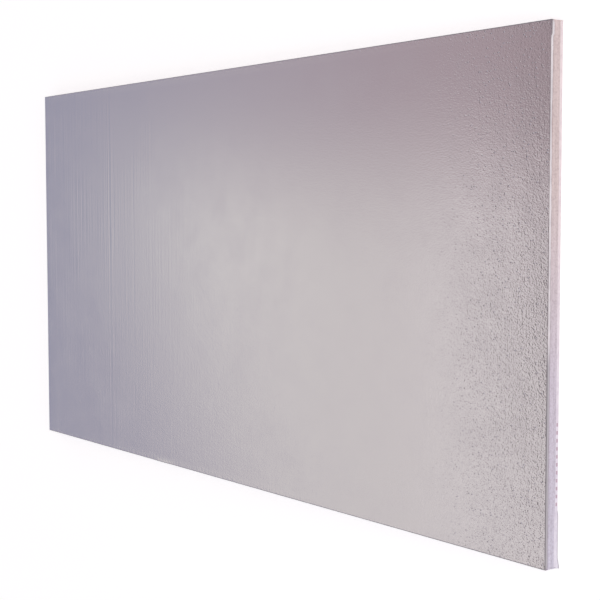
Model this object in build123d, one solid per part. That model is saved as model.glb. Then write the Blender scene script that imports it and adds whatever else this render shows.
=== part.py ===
from build123d import *
import os

# Foil-faced foam insulation board, lying flat with its foil face up.
# It is a laminate of three pieces: a slab of white bead foam, a metallised
# foil bonded to its top face, and a plain white film bonded to its underside.
# Both facings run flush with the two long edges. At the two short ends they
# turn round the foam's arrises and end as narrow laps on the end faces, so
# the foam shows between them.
# X runs along the length, Y across the width and Z through the thickness.
# The origin is at the centre of the underside.

# Driving dimensions in millimetres
board_length = 2438.4
board_width = 1219.2
board_thickness = 38.1
foil_thickness = 0.2
back_film_thickness = 0.2
arris_radius = 1.5
foil_lap_depth = 6.0
back_lap_depth = 9.0
foil_lap_corner_run = 8.0
back_lap_corner_run = 4.0

# The foam fills what the facings leave of the overall size
thicker_facing = max(foil_thickness, back_film_thickness)
foam_length = board_length - 2 * thicker_facing
foam_thickness = board_thickness - foil_thickness - back_film_thickness
foam_bottom = back_film_thickness
foam_middle = foam_bottom + foam_thickness / 2


def rounded_section(growth):
    # The foam's long section, larger by the growth on every side
    outline = RectangleRounded(
        foam_length + 2 * growth,
        foam_thickness + 2 * growth,
        arris_radius + growth,
    )
    return Plane.XZ * Pos(0, foam_middle) * outline


def across_board(section):
    # A section in the XZ plane, carried over the full width
    return extrude(section, amount=board_width / 2, both=True)


def facing(thickness, kept_low, kept_high):
    # A skin round the foam's section, of which one band in Z is kept
    skin = rounded_section(thickness) - rounded_section(0)
    band = Rectangle(2 * board_length, kept_high - kept_low)
    band_middle = (kept_low + kept_high) / 2
    return across_board(skin & (Plane.XZ * Pos(0, band_middle) * band))


def lap_corner_cutters(lap_edge, bend_start, corner_run):
    # At each corner the lap is trimmed on a slant, from its full depth up to
    # the bend, so that no loose film stands past the long edges
    corner = board_width / 2
    slant = make_face(
        Polyline(
            (corner - corner_run, lap_edge),
            (corner, lap_edge),
            (corner, bend_start),
            close=True,
        )
    )
    cutter = extrude(Plane.YZ * slant, amount=board_length, both=True)
    return [cutter, mirror(cutter, about=Plane.XZ)]


def build_foam_core():
    return across_board(rounded_section(0))


def build_foil_facing():
    lap_edge = board_thickness - foil_lap_depth
    bend_start = board_thickness - foil_thickness - arris_radius
    sheet = facing(foil_thickness, lap_edge, board_thickness)
    return sheet - lap_corner_cutters(lap_edge, bend_start, foil_lap_corner_run)


def build_back_film():
    bend_start = back_film_thickness + arris_radius
    sheet = facing(back_film_thickness, 0, back_lap_depth)
    return sheet - lap_corner_cutters(back_lap_depth, bend_start, back_lap_corner_run)


pieces = {
    "foam_core": build_foam_core(),
    "foil_facing": build_foil_facing(),
    "back_film": build_back_film(),
}

os.makedirs("parts", exist_ok=True)
for name, piece in pieces.items():
    export_step(piece, f"parts/{name}.step")
    print(name, "volume", round(piece.volume), "mm3")
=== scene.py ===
import math
import bmesh
import bpy
from mathutils import Matrix, Vector, noise


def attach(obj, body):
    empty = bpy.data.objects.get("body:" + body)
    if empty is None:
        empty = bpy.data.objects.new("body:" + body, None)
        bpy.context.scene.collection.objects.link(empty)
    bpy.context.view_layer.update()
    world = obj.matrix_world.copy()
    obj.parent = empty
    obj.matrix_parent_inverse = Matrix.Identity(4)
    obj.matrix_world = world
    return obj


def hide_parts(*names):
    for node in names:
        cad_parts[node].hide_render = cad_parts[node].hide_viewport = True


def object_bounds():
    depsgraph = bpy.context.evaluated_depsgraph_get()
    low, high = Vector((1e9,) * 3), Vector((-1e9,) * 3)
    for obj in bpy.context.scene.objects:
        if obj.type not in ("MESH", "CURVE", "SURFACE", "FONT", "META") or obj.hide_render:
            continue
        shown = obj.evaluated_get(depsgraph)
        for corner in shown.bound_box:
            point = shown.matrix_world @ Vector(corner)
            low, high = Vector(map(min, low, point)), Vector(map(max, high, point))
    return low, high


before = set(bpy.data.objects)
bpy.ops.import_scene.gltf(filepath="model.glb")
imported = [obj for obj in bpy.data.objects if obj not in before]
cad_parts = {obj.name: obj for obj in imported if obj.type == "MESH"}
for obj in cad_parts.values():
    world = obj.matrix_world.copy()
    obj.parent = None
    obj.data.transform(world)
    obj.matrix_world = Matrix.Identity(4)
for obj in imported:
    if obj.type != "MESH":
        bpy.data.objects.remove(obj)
cadLow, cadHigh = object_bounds()

# The board lies flat, foil up: X is its length, Y its width, Z its thickness.
# Every size is in metres; mm turns a size in millimetres into metres.
mm = 0.001
halfLength, halfWidth, topZ = cadHigh
facingThickness = 0.2 * mm
foamArris = 1.5 * mm
outerArris = foamArris + facingThickness
ends = (1, -1)
sides = (1, -1)


def linear(hexColour):
    # sRGB hex to the linear RGBA that a socket takes
    channels = [int(hexColour[i:i + 2], 16) / 255 for i in (0, 2, 4)]
    curve = [c / 12.92 if c <= 0.04045 else ((c + 0.055) / 1.055) ** 2.4 for c in channels]
    return (*curve, 1.0)


def addNode(tree, kind, inputs=None, **settings):
    # One node with its settings; an input is a value, a node (its first output) or an output
    made = tree.nodes.new("ShaderNode" + kind)
    for key, value in settings.items():
        setattr(made, key, value)
    for key, value in (inputs or {}).items():
        if isinstance(value, bpy.types.Node):
            value = value.outputs[0]
        if isinstance(value, bpy.types.NodeSocket):
            tree.links.new(value, made.inputs[key])
        else:
            made.inputs[key].default_value = value
    return made


def fillRamp(ramp, stops):
    # Sets a colour ramp's stops from (position, hex colour) pairs
    elements = ramp.color_ramp.elements
    while len(elements) < len(stops):
        elements.new(1.0)
    for element, (position, hexColour) in zip(elements, stops):
        element.position = position
        element.color = linear(hexColour)


def newMaterial(name, **values):
    # A material with one Principled shader, its tree and that shader
    material = bpy.data.materials.new(name)
    material.use_nodes = True
    tree = material.node_tree
    shader = tree.nodes["Principled BSDF"]
    for key, value in values.items():
        shader.inputs[key.replace("_", " ")].default_value = value
    return material, tree, shader


def smoothStep(low, high, value):
    t = min(max((value - low) / (high - low), 0.0), 1.0)
    return t * t * (3 - 2 * t)


def ripple(x, y, z, size, seed):
    # Smooth noise from about -1 to 1 with features of that size
    return noise.noise(Vector((x, y, z)) / size + Vector((seed, seed * 0.7, seed * 1.3)))


def outerEdges(bm, axis, startX):
    # The edges of a sheet's flat outer face that run along one axis, from startX on
    found = []
    for edge in bm.edges:
        first, second = [vert.co for vert in edge.verts]
        run = first - second
        flat = min(first.z, second.z) > -0.1 * facingThickness
        if flat and min(first.x, second.x) > startX and abs(run[axis]) > 0.9 * run.length:
            found.append(edge)
    return found


def extrudeRows(bm, rim, steps):
    # Extrudes a rim of edges once for each step and gives the last rim
    for step in steps:
        grown = bmesh.ops.extrude_edge_only(bm, edges=rim)["geom"]
        moved = [part for part in grown if isinstance(part, bmesh.types.BMVert)]
        bm.verts.index_update()
        numbers = {vert.index for vert in moved}
        rim = [part for part in grown if isinstance(part, bmesh.types.BMEdge)
               and all(vert.index in numbers for vert in part.verts)]
        bmesh.ops.translate(bm, verts=moved, vec=step)
    return rim


def markCreases(bm, angle=math.radians(35)):
    # Smooth shading stops at sharp edges
    for edge in bm.edges:
        edge.smooth = len(edge.link_faces) == 2 and edge.calc_face_angle(0) < angle


def finishPiece(bm, name, material, cadNode):
    markCreases(bm)
    mesh = bpy.data.meshes.new(name)
    bm.to_mesh(mesh)
    bm.free()
    mesh.materials.append(material)
    for polygon in mesh.polygons:
        polygon.use_smooth = True
    piece = bpy.data.objects.new(name, mesh)
    bpy.context.scene.collection.objects.link(piece)
    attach(piece, "root")
    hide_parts(cadNode)
    triangles = sum(len(polygon.vertices) - 2 for polygon in mesh.polygons)
    print(name, "triangles", triangles)


# What both facings start from: a flat sheet whose short ends turn round the
# foam's arris and run on down the end faces as laps.

def lappedSheet(cells, lapDepth, lapRows, cornerRun):
    bm = bmesh.new()
    bmesh.ops.create_grid(bm, x_segments=cells[0], y_segments=cells[1], size=0.5)
    bendX = halfLength - outerArris
    bmesh.ops.scale(bm, verts=bm.verts[:], vec=(2 * bendX, 2 * halfWidth, 1))
    for end in ends:
        rim = [e for e in bm.edges if all(abs(v.co.x - end * bendX) < 1e-6 for v in e.verts)]
        turned = bmesh.ops.spin(
            bm, geom=rim, cent=(end * bendX, 0, -outerArris), axis=(0, 1, 0),
            angle=end * math.pi / 2, steps=5, use_duplicate=False)
        hem = [part for part in turned["geom_last"] if isinstance(part, bmesh.types.BMEdge)]
        extrudeRows(bm, hem, [(0, 0, -(lapDepth - outerArris) / lapRows)] * lapRows)
        for side in sides:
            trimLap(bm, end, side, lapDepth, cornerRun)
    bmesh.ops.recalc_face_normals(bm, faces=bm.faces[:])
    return bm


def trimLap(bm, end, side, lapDepth, cornerRun):
    # Cuts one corner of a lap on a slant, from its full depth up to the bend
    lap = [part for kind in (bm.verts, bm.edges, bm.faces) for part in kind
           if all(end * vert.co.x > halfLength - 1e-5 for vert in getattr(part, "verts", [part]))]
    start = Vector((end * halfLength, side * halfWidth, -outerArris))
    outward = Vector((0, side * (lapDepth - outerArris), -cornerRun)).normalized()
    bmesh.ops.bisect_plane(bm, geom=lap, plane_co=start, plane_no=outward, clear_outer=True)


# Foil facing. A bump's amount is in millimetres. The relief's rows are a size along X, a size along Y
# and an amount. A share is where it starts and ends along its axis, then how much it is at each.

foil = {
    "cells": (40, 200),
    "lengthCuts": 2,
    "lapDepth": 6 * mm,
    "lapRows": 3,
    "cornerRun": 8 * mm,
    "slackSize": 140 * mm,
    "slackHeight": 0.04 * mm,
    "pebbledRun": 122 * mm,
    "pebbledCuts": (10, 3),
    "beadSize": 6.5 * mm,
    "beadSqueeze": 1.4,
    "beadHeight": 0.04 * mm,
    "pitDepth": 0.08 * mm,
    "streakSize": 4 * mm,
    "streakHeight": 0.03 * mm,
    "edgeWander": 0.4 * mm,
    "curlAt": -0.42,
    "curlRun": 70 * mm,
    "curlDepth": 13 * mm,
    "curlHeight": 1.1 * mm,
    "pressedLift": 0.25 * mm,
    "lapLift": 0.8 * mm,
    "lapLooseFrom": (-0.16, -0.06),
    "looseRun": 38 * mm,
    "looseReach": 3.5 * mm,
    "colour": "E2DCDF",
    "dulledAndShadedColour": "B4B0B5",
    "roughness": (0.11, 0.17),
    "dulledRoughness": 0.2,
    "beadPitch": 5.5 * mm,
    "beadBump": -0.07,
    "relief": [(4 * mm, 3.4 * mm, 0.17), (26 * mm, 20 * mm, 0.08), (5 * mm, 120 * mm, 0.05)],
    "shareAlong": (0.7, 1.05, 0.8, 1.8),
    "shareAcross": (-0.2, 0.3, 1.35, 0.6),
    "pitPitch": 9 * mm,
    "pitBump": -0.48,
    "pittedFrom": (0.72, 1.12),
    "rollerSpan": 13 * mm,
    "rollerBump": 0.24,
    "rolledFrom": (-0.2, -0.7),
    "rollerPatch": (160 * mm, 320 * mm),
    "puckerRun": 24 * mm,
    "puckerSize": 8 * mm,
    "puckerBump": 0.4,
    "smearAndShadePatchSize": 80 * mm,
    "shadedBendRun": (4.5 * mm, 1.5 * mm),
    "shadedBendFrom": (-0.09, -0.15),
}


def foilRelief(x, y):
    # How deep the foil's face lies under the flat: slack, and near the +X end the beads, the pits
    # where three of them meet and the roller's streaks
    depth = foil["slackHeight"] * (0.5 + 0.5 * ripple(x, y, 0, foil["slackSize"], 3))
    start = halfLength - foil["pebbledRun"]
    nearEnd = smoothStep(start, start + 0.7 * foil["pebbledRun"], x)
    if nearEnd > 0:
        spot = Vector((x, foil["beadSqueeze"] * y, 0)) / foil["beadSize"]
        distances, centres = noise.voronoi(spot)
        depth += nearEnd * foil["beadHeight"] * min(distances[0], 1.0)
        meeting = 1 - smoothStep(0.0, 0.4, distances[2] - distances[0])
        depth += nearEnd * foil["pitDepth"] * meeting * smoothStep(-0.4, 0.8, noise.cell(centres[0] * 9.0))
        depth += nearEnd * foil["streakHeight"] * (0.5 + 0.5 * ripple(x, 0.12 * y, 0, foil["streakSize"], 31))
    return depth


def edgeCurl(x, y):
    # How far the foil has curled up off the foam: one short place on the -Y edge
    along = 1 - smoothStep(0.3 * foil["curlRun"], foil["curlRun"], abs(x - foil["curlAt"]))
    return foil["curlHeight"] * along * max(0.0, 1 - (halfWidth + y) / foil["curlDepth"]) ** 2


def lapLift(x, y):
    # How far the lap stands off the end: at +X it is loose over the +Y half and pressed down past it
    lift = foil["pressedLift"] * (1 + ripple(y, 0, 0, 30 * mm, 8))
    if x > 0:
        loose = smoothStep(*foil["lapLooseFrom"], y)
        lift += foil["lapLift"] * loose * (1 + 0.35 * ripple(y, 0, 0, 90 * mm, 5))
    return lift


def looseCorner(x, y):
    # At the (+X, +Y) corner the bend has let go and stands out past the foam
    start = halfWidth - foil["looseRun"]
    return foil["looseReach"] * smoothStep(start, start + 6 * mm, y) if x > 0 else 0.0


def lapLength(x, y):
    # Its share of the full depth there: the cut edge wanders
    return 0.85 + 0.25 * ripple(y, x, 0, 22 * mm, 14) + 0.15 * ripple(y, x, 0, 110 * mm, 15)


def buildFoil(material):
    bm = lappedSheet(foil["cells"], foil["lapDepth"], foil["lapRows"], foil["cornerRun"])
    bmesh.ops.solidify(bm, geom=bm.faces[:], thickness=facingThickness)
    bmesh.ops.recalc_face_normals(bm, faces=bm.faces[:])
    along = outerEdges(bm, 0, -halfLength)
    bmesh.ops.subdivide_edges(bm, edges=along, cuts=foil["lengthCuts"], use_grid_fill=True)
    pebbledX = halfLength - foil["pebbledRun"] - outerArris - 1 * mm
    for axis, cuts in enumerate(foil["pebbledCuts"]):
        bmesh.ops.subdivide_edges(bm, edges=outerEdges(bm, axis, pebbledX), cuts=cuts, use_grid_fill=True)
    for vert in bm.verts:
        x, y, z = vert.co
        if z > -0.1 * facingThickness:
            vert.co.z -= foilRelief(x, y)
        if z > -1.1 * facingThickness:
            vert.co.z += edgeCurl(x, y)
        if abs(y) > halfWidth - 0.1 * mm:
            vert.co.y -= math.copysign(foil["edgeWander"] * (0.5 + 0.5 * ripple(x, 0, 0, 50 * mm, 6)), y)
        if abs(x) > halfLength - outerArris - 0.01 * mm:
            vert.co.x += looseCorner(x, y)
        if z < -outerArris:
            down = (-z - outerArris) * lapLength(x, y)
            share = down / (foil["lapDepth"] - outerArris)
            vert.co.x += math.copysign(lapLift(x, y) * share, x)
            vert.co.z = -outerArris - down + 0.3 * lapLift(x, y) * share * share
    bmesh.ops.translate(bm, verts=bm.verts[:], vec=(0, 0, topZ))
    finishPiece(bm, "foilFacing", material, "foil_facing")


def foilMaterial():
    # Metallised plastic film, roller laminated: a soft mirror, broken up by the beads under it
    # and by the fine lines that the roller leaves across the board
    material, tree, shader = newMaterial("metallisedFilm", Metallic=1.0)
    place = addNode(tree, "TexCoord").outputs["Object"]
    x, y, z = addNode(tree, "SeparateXYZ", {0: place}).outputs
    # The roller squeezed the beads a little shorter across the board
    squeezed = addNode(tree, "Mapping", {"Vector": place, "Scale": (1, foil["beadSqueeze"], 1)})
    bead = addNode(tree, "TexVoronoi", {"Vector": squeezed, "Scale": 1 / foil["beadPitch"]},
                   feature="SMOOTH_F1")
    height = addNode(tree, "Math", {0: bead, 1: foil["beadBump"]}, operation="MULTIPLY")
    # Uneven glue, then streaks along the roller
    for sizeX, sizeY, amount in foil["relief"]:
        scaled = addNode(tree, "Mapping", {"Vector": place, "Scale": (1 / sizeX, 1 / sizeY, 1 / sizeX)})
        grain = addNode(tree, "TexNoise", {"Vector": scaled, "Scale": 1.0, "Detail": 1.0})
        height = addNode(tree, "Math", {0: grain, 1: amount, 2: height}, operation="MULTIPLY_ADD")
    # The film is drawn tight towards -X and +Y, so all of that shows less there
    for along, (start, end, low, high) in ((x, foil["shareAlong"]), (y, foil["shareAcross"])):
        reach = {"Value": along, "From Min": start, "From Max": end, "To Min": low, "To Max": high}
        share = addNode(tree, "MapRange", reach, interpolation_type="SMOOTHSTEP")
        height = addNode(tree, "Math", {0: height, 1: share}, operation="MULTIPLY")
    # Towards +X some of the gaps between beads are deep enough to hold a pit
    gap = addNode(tree, "TexVoronoi", {"Vector": squeezed, "Scale": 1 / foil["pitPitch"]})
    pit = addNode(tree, "MapRange", {"Value": gap, "From Max": 0.32, "To Min": foil["pitBump"],
                                     "To Max": 0.0}, interpolation_type="SMOOTHSTEP")
    deep = addNode(tree, "MapRange", {"Value": gap.outputs["Color"], "From Min": 0.4, "From Max": 0.8})
    start, end = foil["pittedFrom"]
    near = addNode(tree, "MapRange", {"Value": x, "From Min": start, "From Max": end},
                   interpolation_type="SMOOTHSTEP")
    deep = addNode(tree, "Math", {0: deep, 1: near}, operation="MULTIPLY")
    height = addNode(tree, "Math", {0: pit, 1: deep, 2: height}, operation="MULTIPLY_ADD")
    # The roller's lines run across the board, unevenly spaced and broken: plain towards -X and +Y,
    # fainter towards -Y, gone before +X
    roller = addNode(tree, "TexNoise", {"W": x, "Scale": 1 / foil["rollerSpan"], "Detail": 1.0},
                     noise_dimensions="1D")
    alongX, alongY = foil["rollerPatch"]
    patches = addNode(tree, "Mapping", {"Vector": place, "Scale": (1 / alongX, 1 / alongY, 1)})
    pressure = addNode(tree, "TexNoise", {"Vector": patches, "Scale": 1.0, "Detail": 0.0})
    pressed = addNode(tree, "MapRange", {"Value": pressure, "From Min": 0.36, "From Max": 0.6,
                                         "To Min": 0.15})
    start, end = foil["rolledFrom"]
    amount = addNode(tree, "MapRange", {"Value": x, "From Min": start, "From Max": end,
                                        "To Max": foil["rollerBump"]})
    fainter = addNode(tree, "MapRange", {"Value": y, "From Min": -0.25, "From Max": 0.1, "To Min": 0.6})
    amount = addNode(tree, "Math", {0: amount, 1: pressed}, operation="MULTIPLY")
    amount = addNode(tree, "Math", {0: amount, 1: fainter}, operation="MULTIPLY")
    height = addNode(tree, "Math", {0: roller, 1: amount, 2: height}, operation="MULTIPLY_ADD")

    # Near the long edges the knife dragged the film into puckers, and dulled the last two millimetres
    across = addNode(tree, "Math", {0: y}, operation="ABSOLUTE")
    inward = addNode(tree, "Math", {0: halfWidth, 1: across}, operation="SUBTRACT")
    amount = addNode(tree, "MapRange", {"Value": inward, "From Min": foil["puckerRun"], "From Max": 0.0,
                                        "To Max": foil["puckerBump"]}, interpolation_type="SMOOTHSTEP")
    pucker = addNode(tree, "TexNoise", {"Vector": place, "Scale": 1 / foil["puckerSize"], "Detail": 1.0})
    height = addNode(tree, "Math", {0: pucker, 1: amount, 2: height}, operation="MULTIPLY_ADD")
    bump = addNode(tree, "Bump", {"Height": height, "Distance": 1 * mm})
    tree.links.new(bump.outputs[0], shader.inputs["Normal"])

    ragged = addNode(tree, "Math", {0: pucker, 1: -2.4 * mm, 2: inward}, operation="MULTIPLY_ADD")
    cut = addNode(tree, "MapRange", {"Value": ragged, "From Min": 1.6 * mm, "From Max": 0.2 * mm},
                  interpolation_type="SMOOTHSTEP")
    smearAndShadePatches = addNode(tree, "TexNoise", {"Vector": place, "Scale": 1 / foil["smearAndShadePatchSize"], "Detail": 3.0})
    # Painted shade: the bend of the +X end is darker, here and there and all along its -Y part, standing in
    # for its dark reflection
    start, end = foil["shadedBendRun"]
    bend = addNode(tree, "MapRange", {"Value": x, "From Min": halfLength - start,
                                      "From Max": halfLength - end})
    start, end = foil["shadedBendFrom"]
    bendShadeAcross = addNode(tree, "MapRange", {"Value": y, "From Min": start, "From Max": end})
    bendShadePatches = addNode(tree, "MapRange", {"Value": smearAndShadePatches, "From Min": 0.4, "From Max": 0.6,
                                        "To Min": 0.1, "To Max": 0.5})
    bendShadeAcross = addNode(tree, "Math", {0: bendShadeAcross, 1: bendShadePatches}, operation="MAXIMUM")
    bendShade = addNode(tree, "Math", {0: bend, 1: bendShadeAcross}, operation="MULTIPLY")
    # The dulled long edges and the painted shade on the bend share one darker colour
    dulledAndShaded = addNode(tree, "Math", {0: cut, 1: bendShade}, operation="MAXIMUM")
    colour = addNode(tree, "ValToRGB", {0: dulledAndShaded})
    fillRamp(colour, [(0.0, foil["colour"]), (1.0, foil["dulledAndShadedColour"])])
    tree.links.new(colour.outputs[0], shader.inputs["Base Color"])
    low, high = foil["roughness"]
    smear = addNode(tree, "MapRange", {"Value": smearAndShadePatches, "From Min": 0.3, "From Max": 0.7,
                                       "To Min": low, "To Max": high})
    rough = addNode(tree, "Math", {0: dulledAndShaded, 1: foil["dulledRoughness"], 2: smear},
                    operation="MULTIPLY_ADD")
    tree.links.new(rough.outputs[0], shader.inputs["Roughness"])
    return material


buildFoil(foilMaterial())
print("foil facing done")


# Foam core

foam = {
    "segment": 2 * mm,
    "arrisRows": 3,
    "beadSize": 4.6 * mm,
    "beadDepth": 0.16 * mm,
    "tornShare": 0.02,
    "tornDepth": 0.8 * mm,
    "wirePitch": 3.2 * mm,
    "wireRun": 90 * mm,
    "wireDepth": 0.12 * mm,
    "beadBump": -0.35,
    "wireBump": 0.2,
    "wireShade": 0.82,
    "beadAndGapShadeColours": ["F6F3F4", "F1EDEE", "E4DEE0"],
    "paintedLightTint": [(0.0, "F1E2E0"), (0.3, "F0E2E0"), (0.65, "E8E2EF"), (1.0, "E9E8F8")],
    "lapShadowColour": "CDC5C7",
    "lapShadowLine": (9.5 * mm, 5.5 * mm),
}


def foamLevels():
    # Heights of the foam's rings: close together round the two arrises, even between them
    low, high = facingThickness, topZ - facingThickness
    steps = foam["arrisRows"]
    turn = [foamArris * (1 - math.cos(math.pi / 2 * k / steps)) for k in range(steps)]
    rows = round((high - low - 2 * foamArris) / foam["segment"])
    even = [foamArris + (high - low - 2 * foamArris) * k / rows for k in range(rows + 1)]
    return [low + z for z in turn + even] + [high - z for z in reversed(turn)]


def arrisInset(z):
    # How far the rounded arris lies inside the end face at that height
    depth = min(z - facingThickness, topZ - facingThickness - z)
    short = min(max(foamArris - depth, 0.0), foamArris)
    return foamArris - math.sqrt(foamArris ** 2 - short ** 2)


def foamRelief(x, y, z):
    # How deep the cut face lies under the flat: beads, beads that the wire tore out, wire marks
    distances, centres = noise.voronoi(Vector((x, y, z)) / foam["beadSize"])
    away = min(distances[0], 1.0)
    chance = 0.5 + 0.5 * noise.cell(centres[0] * 9.0)
    depth = foam["beadDepth"] * (0.8 * away + 0.4 * chance)
    if chance < foam["tornShare"]:
        depth += foam["tornDepth"] * max(0.0, 1 - 1.6 * away)
    along = x if abs(y) > halfWidth - 1 * mm else y
    wire = noise.noise(Vector((along / foam["wireRun"], z / foam["wirePitch"], 4.0)))
    return depth + foam["wireDepth"] * (0.5 + 0.5 * wire)


def buildFoam(material):
    bm = bmesh.new()
    bmesh.ops.create_grid(bm, x_segments=1, y_segments=1, size=0.5)
    bmesh.ops.delete(bm, geom=bm.faces[:], context="FACES_ONLY")
    endX = halfLength - facingThickness
    bmesh.ops.scale(bm, verts=bm.verts[:], vec=(2 * endX, 2 * halfWidth, 1))
    for axis, length in enumerate((2 * endX, 2 * halfWidth)):
        run = [e for e in bm.edges if abs((e.verts[0].co - e.verts[1].co)[axis]) > 0.9 * length]
        bmesh.ops.subdivide_edges(bm, edges=run, cuts=round(length / foam["segment"]) - 1)
    levels = foamLevels()
    bmesh.ops.translate(bm, verts=bm.verts[:], vec=(0, 0, levels[0]))
    ring = bm.edges[:]
    bmesh.ops.edgeloop_fill(bm, edges=ring)
    ring = extrudeRows(bm, ring, [(0, 0, high - low) for low, high in zip(levels, levels[1:])])
    bmesh.ops.edgeloop_fill(bm, edges=ring)
    bmesh.ops.recalc_face_normals(bm, faces=bm.faces[:])
    for vert in bm.verts:
        x, y, z = vert.co
        cut = foamRelief(x, y, z)
        if abs(x) > endX - 0.1 * mm:
            vert.co.x -= math.copysign(arrisInset(z) + cut, x)
        if abs(y) > halfWidth - 0.1 * mm:
            vert.co.y -= math.copysign(cut, y)
    finishPiece(bm, "foamCore", material, "foam_core")


def foamMaterial():
    # Expanded polystyrene, hot-wire cut: white beads pressed flat against each other, the gaps
    # between them painted a little darker as shade, with the wire's fine streaks along the cut
    material, tree, shader = newMaterial("expandedPolystyrene", Roughness=0.6)
    place = addNode(tree, "TexCoord").outputs["Object"]
    bead = addNode(tree, "TexVoronoi", {"Vector": place, "Scale": 1 / foam["beadSize"]})
    # Painted shade: the colour darkens from each bead's centre to the gap at its edge
    skinWithPaintedShade = addNode(tree, "ValToRGB", {0: bead})
    fillRamp(skinWithPaintedShade, list(zip((0.0, 0.5, 0.85), foam["beadAndGapShadeColours"])))
    # The wire runs along the board's plane, so its marks are long in X and Y and fine in Z
    scaled = addNode(tree, "Mapping", {
        "Vector": place, "Scale": (1 / foam["wireRun"], 1 / foam["wireRun"], 1 / foam["wirePitch"])})
    wire = addNode(tree, "TexNoise", {"Vector": scaled, "Scale": 1.0, "Detail": 2.0})
    streak = addNode(tree, "MapRange", {"Value": wire, "From Min": 0.3, "From Max": 0.7,
                                        "To Min": foam["wireShade"]})
    streaked = addNode(tree, "Mix", {0: 1.0, 6: skinWithPaintedShade, 7: streak}, data_type="RGBA", blend_type="MULTIPLY")
    # Painted light: the block is tinted a little pinker towards +Y and more lilac towards -Y, as coloured
    # light would show it
    x, y, z = addNode(tree, "SeparateXYZ", {0: place}).outputs
    side = addNode(tree, "MapRange", {"Value": y, "From Min": halfWidth, "From Max": -halfWidth})
    paintedLightTint = addNode(tree, "ValToRGB", {0: side})
    fillRamp(paintedLightTint, foam["paintedLightTint"])
    paintedLightTinted = addNode(tree, "Mix", {0: 1.0, 6: streaked.outputs[2], 7: paintedLightTint},
                     data_type="RGBA", blend_type="MULTIPLY")
    # A painted shadow runs along the ends, just under the foil's lap
    along = addNode(tree, "Math", {0: x}, operation="ABSOLUTE")
    atEnd = addNode(tree, "Math", {0: along, 1: halfLength - 3 * mm}, operation="GREATER_THAN")
    farEdge, nearEdge = foam["lapShadowLine"]
    lapShadow = addNode(tree, "MapRange", {"Value": z, "From Min": topZ - farEdge, "From Max": topZ - nearEdge},
                   interpolation_type="SMOOTHSTEP")
    lapShadow = addNode(tree, "Math", {0: lapShadow, 1: atEnd}, operation="MULTIPLY")
    colour = addNode(tree, "Mix", {0: lapShadow, 6: paintedLightTinted.outputs[2], 7: linear(foam["lapShadowColour"])},
                     data_type="RGBA", blend_type="MULTIPLY")
    tree.links.new(colour.outputs[2], shader.inputs["Base Color"])
    height = addNode(tree, "Math", {0: bead, 1: foam["beadBump"]}, operation="MULTIPLY")
    height = addNode(tree, "Math", {0: wire, 1: foam["wireBump"], 2: height}, operation="MULTIPLY_ADD")
    bump = addNode(tree, "Bump", {"Height": height, "Distance": 1 * mm})
    tree.links.new(bump.outputs[0], shader.inputs["Normal"])
    return material


buildFoam(foamMaterial())
print("foam core done")


# Back film

film = {
    "cells": (40, 160),
    "lapDepth": 9 * mm,
    "lapRows": 4,
    "cornerRun": 4 * mm,
    "creaseSize": 70 * mm,
    "creaseHeight": 0.1 * mm,
    "lapLift": 0.5 * mm,
    "tornY": -0.478,
    "tornLift": 2 * mm,
    "tornShare": 0.35,
    "flareRun": 30 * mm,
    "flare": 4.5 * mm,
    "colour": "F7F3F6",
    "creaseShadeColour": "EAE4EA",
    "paintedLightTint": [(0.0, "FBF2F1"), (0.35, "FAF1F1"), (0.65, "F4F1F7"), (1.0, "F3F3FC")],
    "foldShadeColour": "B6B4BC",
    "dashColour": "C3ADBB",
    "dashPitch": 18 * mm,
    "dashShare": 0.45,
    "dashRun": (-0.475, -0.28),
    "dashDepth": (2.5 * mm, 7.5 * mm),
    "creasePitch": 18 * mm,
    "creaseBump": 0.3,
    "beadPitch": 5 * mm,
    "beadBump": -0.04,
}


def torn(x, y):
    # 1 past the tear in the +X lap, where the rest of it has come loose as far as the -Y corner
    return smoothStep(film["tornY"], film["tornY"] - 8 * mm, y) if x > 0 else 0.0


def filmBulge(x, y):
    # How far the film stands out past the end, most of all at the (+X, -Y) corner
    bulge = film["lapLift"] * (0.5 + 0.5 * ripple(y, x, 0, 50 * mm, 21))
    if x > 0:
        corner = smoothStep(-halfWidth + film["flareRun"], -halfWidth + 3 * mm, y)
        bulge += film["tornLift"] * torn(x, y) + film["flare"] * corner ** 1.5
    return bulge


def buildFilm(material):
    bm = lappedSheet(film["cells"], film["lapDepth"], film["lapRows"], film["cornerRun"])
    bmesh.ops.scale(bm, verts=bm.verts[:], vec=(1, 1, -1))
    bmesh.ops.recalc_face_normals(bm, faces=bm.faces[:])
    bmesh.ops.solidify(bm, geom=bm.faces[:], thickness=facingThickness)
    bmesh.ops.recalc_face_normals(bm, faces=bm.faces[:])
    for vert in bm.verts:
        x, y, z = vert.co
        if z < 0.1 * facingThickness:
            vert.co.z += film["creaseHeight"] * (0.5 + 0.5 * ripple(x, y, 0, film["creaseSize"], 23))
        if abs(x) > halfLength - outerArris - 0.1 * mm:
            up = max(0.0, z - outerArris) / (film["lapDepth"] - outerArris)
            vert.co.x += math.copysign(filmBulge(x, y) * (1 - up), x)
            vert.co.z += film["tornShare"] * torn(x, y) * max(0.0, z - outerArris)
    finishPiece(bm, "backFilm", material, "back_film")


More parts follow.
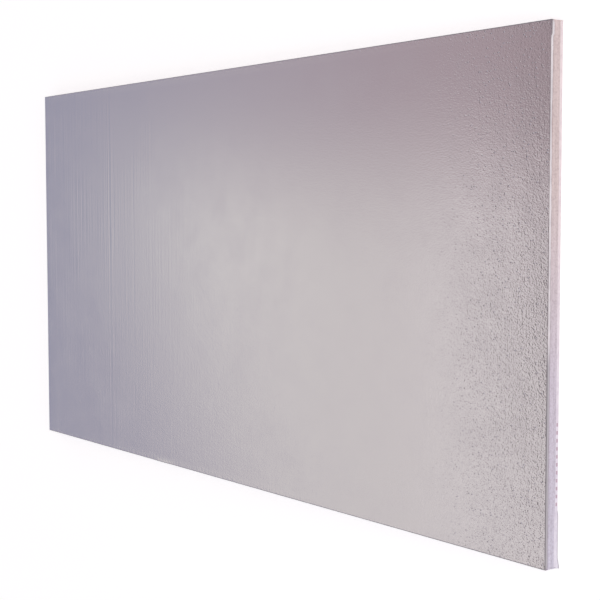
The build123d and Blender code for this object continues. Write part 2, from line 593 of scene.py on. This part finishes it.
def filmMaterial():
    # Blown polyethylene film, white: a waxy half gloss over faint creases, their hollows painted
    # darker as shade, with a generic row of pale printed dashes on the lap of the +X end
    material, tree, shader = newMaterial("polyethyleneFilm", Roughness=0.34)
    place = addNode(tree, "TexCoord").outputs["Object"]
    x, y, z = addNode(tree, "SeparateXYZ", {0: place}).outputs
    crease = addNode(tree, "TexNoise", {"Vector": place, "Scale": 1 / film["creasePitch"], "Detail": 3.0,
                                        "Distortion": 0.8})
    bead = addNode(tree, "TexVoronoi", {"Vector": place, "Scale": 1 / film["beadPitch"]},
                   feature="SMOOTH_F1")
    # Painted shade: the creases' hollows are darker
    skinWithPaintedShade = addNode(tree, "ValToRGB", {0: crease})
    fillRamp(skinWithPaintedShade, [(0.3, film["creaseShadeColour"]), (0.6, film["colour"])])
    # Painted light, as on the foam: the film is tinted pinker towards +Y and more lilac towards -Y
    side = addNode(tree, "MapRange", {"Value": y, "From Min": halfWidth, "From Max": -halfWidth})
    paintedLightTint = addNode(tree, "ValToRGB", {0: side})
    fillRamp(paintedLightTint, film["paintedLightTint"])
    paintedLightTinted = addNode(tree, "Mix", {0: 1.0, 6: skinWithPaintedShade, 7: paintedLightTint}, data_type="RGBA", blend_type="MULTIPLY")
    phase = addNode(tree, "Math", {0: y, 1: film["dashPitch"]}, operation="DIVIDE")
    phase = addNode(tree, "Math", {0: phase}, operation="FRACT")
    (nearY, farY), (lowZ, highZ) = film["dashRun"], film["dashDepth"]
    tests = [
        (phase, film["dashShare"], "LESS_THAN"),
        (x, halfLength - 1 * mm, "GREATER_THAN"),
        (y, nearY, "GREATER_THAN"),
        (y, farY, "LESS_THAN"),
        (z, lowZ, "GREATER_THAN"),
        (z, highZ, "LESS_THAN"),
    ]
    dash = None
    for source, limit, operation in tests:
        test = addNode(tree, "Math", {0: source, 1: limit}, operation=operation)
        dash = addNode(tree, "Math", {0: dash, 1: test}, operation="MULTIPLY") if dash else test
    printed = addNode(tree, "Mix", {0: dash, 6: paintedLightTinted.outputs[2], 7: linear(film["dashColour"])},
                      data_type="RGBA")
    # Painted shade: the loose corner's fold, which faces down towards the floor, is darker
    fold = addNode(tree, "MapRange", {"Value": z, "From Min": 4 * mm, "From Max": 1.5 * mm})
    loose = addNode(tree, "Math", {0: y, 1: film["tornY"]}, operation="LESS_THAN")
    foldShade = addNode(tree, "Math", {0: fold, 1: loose}, operation="MULTIPLY")
    colour = addNode(tree, "Mix", {0: foldShade, 6: printed.outputs[2], 7: linear(film["foldShadeColour"])},
                     data_type="RGBA")
    tree.links.new(colour.outputs[2], shader.inputs["Base Color"])
    height = addNode(tree, "Math", {0: bead, 1: film["beadBump"]}, operation="MULTIPLY")
    height = addNode(tree, "Math", {0: crease, 1: film["creaseBump"], 2: height}, operation="MULTIPLY_ADD")
    bump = addNode(tree, "Bump", {"Height": height, "Distance": 1 * mm})
    tree.links.new(bump.outputs[0], shader.inputs["Normal"])
    return material


buildFilm(filmMaterial())
print("back film done")


# Camera, at the photograph's viewing angle: it looks down along the board from
# above its +X end, turned so that +Y is up in the picture.

camera = {
    "spot": Vector((3.2206, 0.1899, 2.2433)),
    "aim": Vector((0.3131, -0.05, 0.0381)),
    "turn": math.radians(-92.92),
    "lens": 79.85,
}


def addCamera():
    data = bpy.data.cameras.new("camera")
    data.lens = camera["lens"]
    made = bpy.data.objects.new("camera", data)
    bpy.context.scene.collection.objects.link(made)
    gaze = (camera["aim"] - camera["spot"]).to_track_quat("-Z", "Y").to_matrix().to_4x4()
    made.matrix_world = Matrix.Translation(camera["spot"]) @ gaze @ Matrix.Rotation(camera["turn"], 4, "Z")
    bpy.context.scene.camera = made


addCamera()


# Studio: a white floor, a pale world with one large soft window on the -X side, and a broad lamp
# that lights the +X end

studio = {
    "floorSize": 120,
    "floorGlow": 0.57,
    "floorColour": "E6E6E6",
    "sky": [(0.0, "FFFFFF"), (0.2, "FFFFFF"), (0.33, "A5A8BB"), (0.44, "A7AABC"), (0.55, "B7B3BD"),
            (0.65, "B7ACB3"), (0.735, "B7A7AB"), (0.8, "676264"), (0.9, "676264"), (0.97, "CFCACF")],
    "brightSide": (-0.05, 0.45),
    "brightSky": [(0.0, "FFFFFF"), (0.1, "FFFFFF"), (0.24, "DAD3D3")],
    "window": [(0.5, "EEF1ED"), (0.58, "E5E4E2"), (0.62, "DEDDDB"), (0.68, "DFDCDB"), (0.735, "FFFDFC")],
    "windowLow": (0.452, 0.559),
    "windowHigh": (0.717, 0.775),
    "windowSide": (0.108, -0.036),
    "windowLean": (0.2, 0.06),
    "windowFront": (0.0, -0.3),
    "lampSpot": (5.2, 0.0, 1.2),
    "lampSize": 2.5,
    "lampPower": 56,
}


def addFloor():
    bm = bmesh.new()
    bmesh.ops.create_grid(bm, x_segments=1, y_segments=1, size=studio["floorSize"] / 2)
    mesh = bpy.data.meshes.new("floor")
    bm.to_mesh(mesh)
    bm.free()
    floor = bpy.data.objects.new("floor", mesh)
    bpy.context.scene.collection.objects.link(floor)
    material = bpy.data.materials.new("floorPaint")
    material.use_nodes = True
    tree = material.node_tree
    tree.nodes.clear()
    diffuse = addNode(tree, "BsdfDiffuse", {"Color": linear(studio["floorColour"])})
    glow = addNode(tree, "Emission", {"Color": linear("FFFFFF"), "Strength": studio["floorGlow"]})
    lit = addNode(tree, "AddShader", {0: diffuse.outputs[0], 1: glow.outputs[0]})
    path = addNode(tree, "LightPath")
    seen = addNode(
        tree, "Math", {0: path.outputs["Is Camera Ray"], 1: path.outputs["Is Glossy Ray"]},
        operation="MAXIMUM")
    shown = addNode(
        tree, "Math", {0: seen.outputs[0], 1: path.outputs["Is Transmission Ray"]}, operation="MAXIMUM")
    mixed = addNode(tree, "MixShader", {0: shown.outputs[0], 1: diffuse.outputs[0], 2: lit.outputs[0]})
    addNode(tree, "OutputMaterial", {"Surface": mixed.outputs[0]})
    mesh.materials.append(material)


def addWorld():
    world = bpy.data.worlds.new("studioWorld")
    bpy.context.scene.world = world
    world.use_nodes = True
    tree = world.node_tree
    tree.nodes.clear()
    direction = addNode(tree, "TexCoord").outputs["Generated"]
    towardX, towardY, upward = addNode(tree, "SeparateXYZ", {0: direction}).outputs
    sky = addNode(tree, "ValToRGB", {0: upward})
    fillRamp(sky, studio["sky"])
    dim, full = studio["brightSide"]
    bright = addNode(tree, "MapRange", {"Value": towardX, "From Min": dim, "From Max": full},
                     interpolation_type="SMOOTHSTEP")
    brightSky = addNode(tree, "ValToRGB", {0: upward})
    fillRamp(brightSky, studio["brightSky"])
    sky = addNode(tree, "Mix", {0: bright, 6: sky, 7: brightSky}, data_type="RGBA").outputs[2]
    window = addNode(tree, "ValToRGB", {0: upward})
    fillRamp(window, studio["window"])
    low, high = [
        addNode(tree, "Math", {0: towardY, 1: lean, 2: upward}, operation="MULTIPLY_ADD")
        for lean in studio["windowLean"]]
    bounds = [
        (low, studio["windowLow"]),
        (high, studio["windowHigh"][::-1]),
        (towardY, studio["windowSide"]),
        (towardX, studio["windowFront"]),
    ]
    inside = None
    for source, (outer, inner) in bounds:
        fade = addNode(
            tree, "MapRange", {"Value": source, "From Min": outer, "From Max": inner},
            interpolation_type="SMOOTHSTEP")
        inside = addNode(tree, "Math", {0: inside, 1: fade}, operation="MULTIPLY") if inside else fade
    colour = addNode(tree, "Mix", {0: inside, 6: sky, 7: window}, data_type="RGBA")
    light = addNode(tree, "Background", {"Color": colour.outputs[2]})
    addNode(tree, "OutputWorld", {"Surface": light})


def addLamp():
    data = bpy.data.lights.new("endLamp", "AREA")
    data.size = studio["lampSize"]
    data.energy = studio["lampPower"]
    lamp = bpy.data.objects.new("endLamp", data)
    bpy.context.scene.collection.objects.link(lamp)
    spot = Vector(studio["lampSpot"])
    # A mirror as broad as the foil would show the lamp itself
    lamp.visible_glossy = False
    toEnd = Vector((halfLength, 0, topZ)) - spot
    lamp.matrix_world = Matrix.Translation(spot) @ toEnd.to_track_quat("-Z", "Y").to_matrix().to_4x4()


addFloor()
addWorld()
addLamp()

bpy.context.scene.view_settings.view_transform = "Standard"
